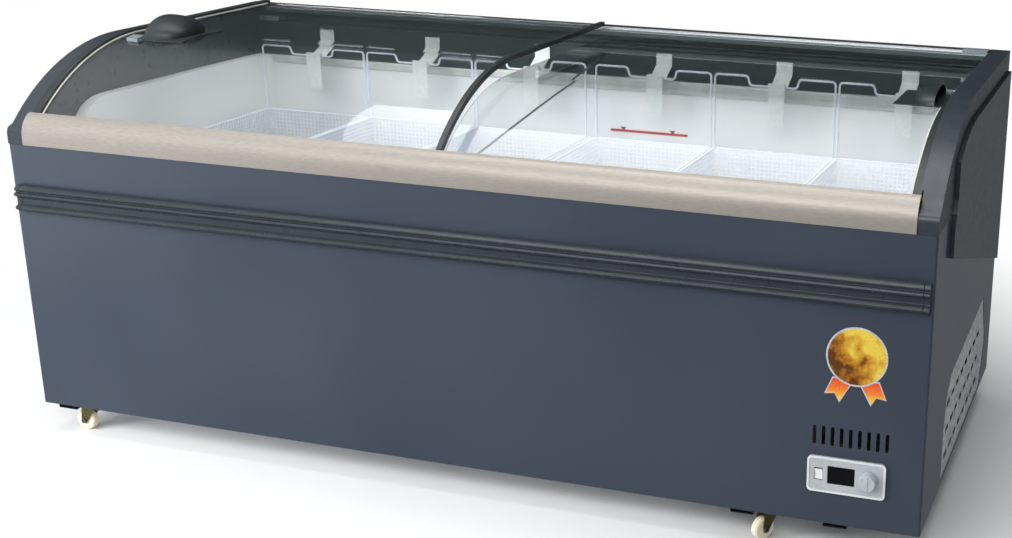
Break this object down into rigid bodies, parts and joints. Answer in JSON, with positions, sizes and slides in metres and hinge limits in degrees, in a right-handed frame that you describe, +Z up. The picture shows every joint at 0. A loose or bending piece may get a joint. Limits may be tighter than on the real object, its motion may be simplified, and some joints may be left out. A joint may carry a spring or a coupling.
{
  "type": "chest freezer",
  "caption": "Island chest freezer with two curved glass lids that slide past each other, hanging wire baskets, a ribbed bumper, a control panel and swivel casters.",
  "frame": {"origin": "middle of the footprint, on the floor", "axes": "+X along the length to the control panel's end, +Y from the customer's side to the rear, +Z up"},
  "size_m": [2.016, 0.954, 0.9003],
  "materials": {
    "coated_slate": "gloss",
    "cap_plastic": "satin",
    "champagne": "satin",
    "bare_aluminium": "satin",
    "dark_plastic": "satin",
    "black_steel": "satin",
    "compressor_shell": "satin",
    "foam": "matte",
    "liner_white": "satin",
    "galvanised": "satin",
    "silver_plastic": "satin",
    "black_gloss": "gloss",
    "white_plastic": "satin",
    "gold_foil": "satin",
    "glass": "gloss",
    "basket_white": "satin",
    "clear_plastic": "gloss",
    "zinc": "satin",
    "nylon": "satin",
    "steel": "satin",
    "grey_plastic": "satin",
    "shroud": "satin"
  },
  "bodies": {
    "cabinet": {"front_panel": "coated_slate", "left_side_panel": "coated_slate", "right_side_panel": "coated_slate", "machine_cover": "galvanised", "rear_panel": "coated_slate", "base_pan": "galvanised", "insulation_foam": "foam", "inner_liner": "liner_white", "rear_upper_panel": "dark_plastic", "front_trim_rail": "champagne", "rear_glass_rail": "bare_aluminium", "rear_top_lip": "cap_plastic", "left_end_cap": "cap_plastic", "right_end_cap": "cap_plastic", "bumper_strip": "cap_plastic", "bumper_end_left": "cap_plastic", "bumper_end_right": "cap_plastic", "control_bezel": "silver_plastic", "display_window": "black_gloss", "rosette_sticker": "gold_foil", "base_channel_1": "black_steel", "base_channel_2": "black_steel", "base_channel_3": "black_steel", "basket_clip_1": "clear_plastic", "basket_clip_2": "clear_plastic", "basket_clip_3": "clear_plastic", "basket_clip_4": "clear_plastic", "basket_clip_5": "clear_plastic", "basket_clip_6": "clear_plastic", "centre_tie_rod": "steel", "compressor": "compressor_shell", "condenser": "bare_aluminium", "fan_shroud": "shroud"},
    "left_lid": {"left_lid_frame": "dark_plastic", "left_lid_glass": "glass", "left_lid_handle": "dark_plastic"},
    "right_lid": {"right_lid_frame": "dark_plastic", "right_lid_glass": "glass", "right_lid_handle": "dark_plastic"},
    "basket_1": {"wire_basket_1": "basket_white"},
    "basket_2": {"wire_basket_2": "basket_white"},
    "basket_3": {"wire_basket_3": "basket_white"},
    "basket_4": {"wire_basket_4": "basket_white"},
    "basket_5": {"wire_basket_5": "basket_white"},
    "basket_6": {"wire_basket_6": "basket_white"},
    "thermostat": {"thermostat_knob": "silver_plastic"},
    "rocker": {"power_switch": "white_plastic"},
    "fan": {"fan_blade": "grey_plastic"},
    "caster_front_left": {"caster_fork_front_left": "zinc", "caster_axle_front_left": "steel"},
    "wheel_front_left": {"caster_wheel_front_left": "nylon"},
    "caster_front_right": {"caster_fork_front_right": "zinc", "caster_axle_front_right": "steel"},
    "wheel_front_right": {"caster_wheel_front_right": "nylon"},
    "caster_rear_left": {"caster_fork_rear_left": "zinc", "caster_axle_rear_left": "steel"},
    "wheel_rear_left": {"caster_wheel_rear_left": "nylon"},
    "caster_rear_right": {"caster_fork_rear_right": "zinc", "caster_axle_rear_right": "steel"},
    "wheel_rear_right": {"caster_wheel_rear_right": "nylon"}
  },
  "joints": [
    {"name": "left_lid_slide", "type": "slide", "parent": "cabinet", "child": "left_lid", "axis": [1, 0, 0], "range_m": [0, 0.885]},
    {"name": "right_lid_slide", "type": "slide", "parent": "cabinet", "child": "right_lid", "axis": [-1, 0, 0], "range_m": [0, 0.885]},
    {"name": "basket_lift_1", "type": "slide", "parent": "cabinet", "child": "basket_1", "axis": [0, 0, 1], "range_m": [0, 0.03]},
    {"name": "basket_lift_2", "type": "slide", "parent": "cabinet", "child": "basket_2", "axis": [0, 0, 1], "range_m": [0, 0.03]},
    {"name": "basket_lift_3", "type": "slide", "parent": "cabinet", "child": "basket_3", "axis": [0, 0, 1], "range_m": [0, 0.03]},
    {"name": "basket_lift_4", "type": "slide", "parent": "cabinet", "child": "basket_4", "axis": [0, 0, 1], "range_m": [0, 0.03]},
    {"name": "basket_lift_5", "type": "slide", "parent": "cabinet", "child": "basket_5", "axis": [0, 0, 1], "range_m": [0, 0.03]},
    {"name": "basket_lift_6", "type": "slide", "parent": "cabinet", "child": "basket_6", "axis": [0, 0, 1], "range_m": [0, 0.03]},
    {"name": "thermostat_turn", "type": "hinge", "parent": "cabinet", "child": "thermostat", "pos_m": [0.897, -0.463, 0.175], "axis": [0, -1, 0], "range_deg": [-270, 0]},
    {"name": "power_rocker", "type": "hinge", "parent": "cabinet", "child": "rocker", "pos_m": [0.799, -0.453, 0.175], "axis": [1, 0, 0], "range_deg": [-14, 0]},
    {"name": "fan_spin", "type": "hinge", "parent": "cabinet", "child": "fan", "pos_m": [0.9285, -0.078, 0.182], "axis": [1, 0, 0], "continuous": true},
    {"name": "swivel_front_left", "type": "hinge", "parent": "cabinet", "child": "caster_front_left", "pos_m": [-0.908, -0.413, 0.06], "axis": [0, 0, 1], "continuous": true},
    {"name": "roll_front_left", "type": "hinge", "parent": "caster_front_left", "child": "wheel_front_left", "pos_m": [-0.922, -0.413, 0.024], "axis": [0, -1, 0], "continuous": true},
    {"name": "swivel_front_right", "type": "hinge", "parent": "cabinet", "child": "caster_front_right", "pos_m": [0.69, -0.413, 0.06], "axis": [0, 0, 1], "continuous": true},
    {"name": "roll_front_right", "type": "hinge", "parent": "caster_front_right", "child": "wheel_front_right", "pos_m": [0.68197, -0.42447, 0.024], "axis": [0.8192, -0.5736, 0], "continuous": true},
    {"name": "swivel_rear_left", "type": "hinge", "parent": "cabinet", "child": "caster_rear_left", "pos_m": [-0.908, 0.422, 0.06], "axis": [0, 0, 1], "continuous": true},
    {"name": "roll_rear_left", "type": "hinge", "parent": "caster_rear_left", "child": "wheel_rear_left", "pos_m": [-0.922, 0.422, 0.024], "axis": [0, -1, 0], "continuous": true},
    {"name": "swivel_rear_right", "type": "hinge", "parent": "cabinet", "child": "caster_rear_right", "pos_m": [0.69, 0.422, 0.06], "axis": [0, 0, 1], "continuous": true},
    {"name": "roll_rear_right", "type": "hinge", "parent": "caster_rear_right", "child": "wheel_rear_right", "pos_m": [0.68197, 0.41053, 0.024], "axis": [0.8192, -0.5736, 0], "continuous": true}
  ]
}
